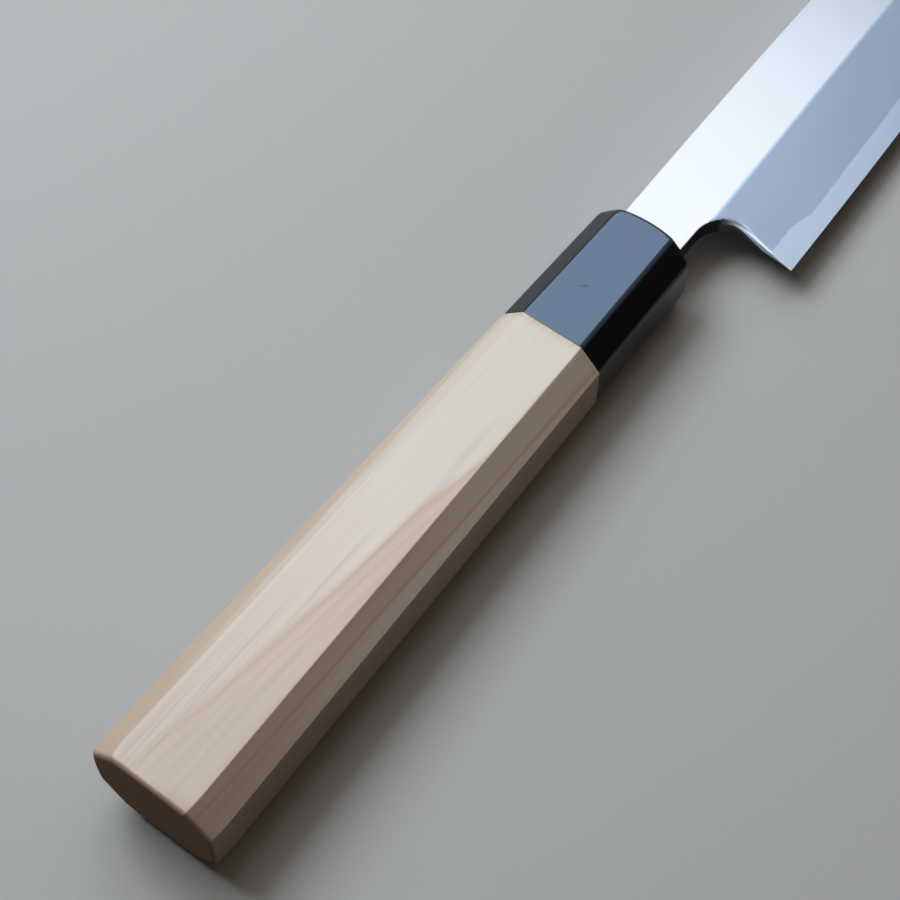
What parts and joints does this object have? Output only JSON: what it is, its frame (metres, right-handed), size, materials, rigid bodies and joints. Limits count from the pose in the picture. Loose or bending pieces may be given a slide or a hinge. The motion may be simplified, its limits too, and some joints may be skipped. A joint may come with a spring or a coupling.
{
  "type": "yanagiba knife",
  "caption": "Long slender slicing knife, ground on one side only with a hollow back, on a tapered octagonal wooden handle with a dark horn ferrule.",
  "frame": {"origin": "centre of the flat end face of the handle's butt, on the handle's long axis", "axes": "+X along the handle from the butt to the tip, +Y from the cutting edge to the spine, +Z out of the bevelled face; the knife lies on its flat back"},
  "size_m": [0.4146, 0.0385, 0.0202],
  "materials": {
    "soft_iron": "satin",
    "hard_steel": "satin",
    "horn": "gloss",
    "magnolia_wood": "satin",
    "seal_resin": "matte"
  },
  "bodies": {
    "root": {"blade_iron": "soft_iron", "edge_steel": "hard_steel", "horn_ferrule": "horn", "wood_handle": "magnolia_wood", "tang_seal": "seal_resin"}
  },
  "joints": []
}
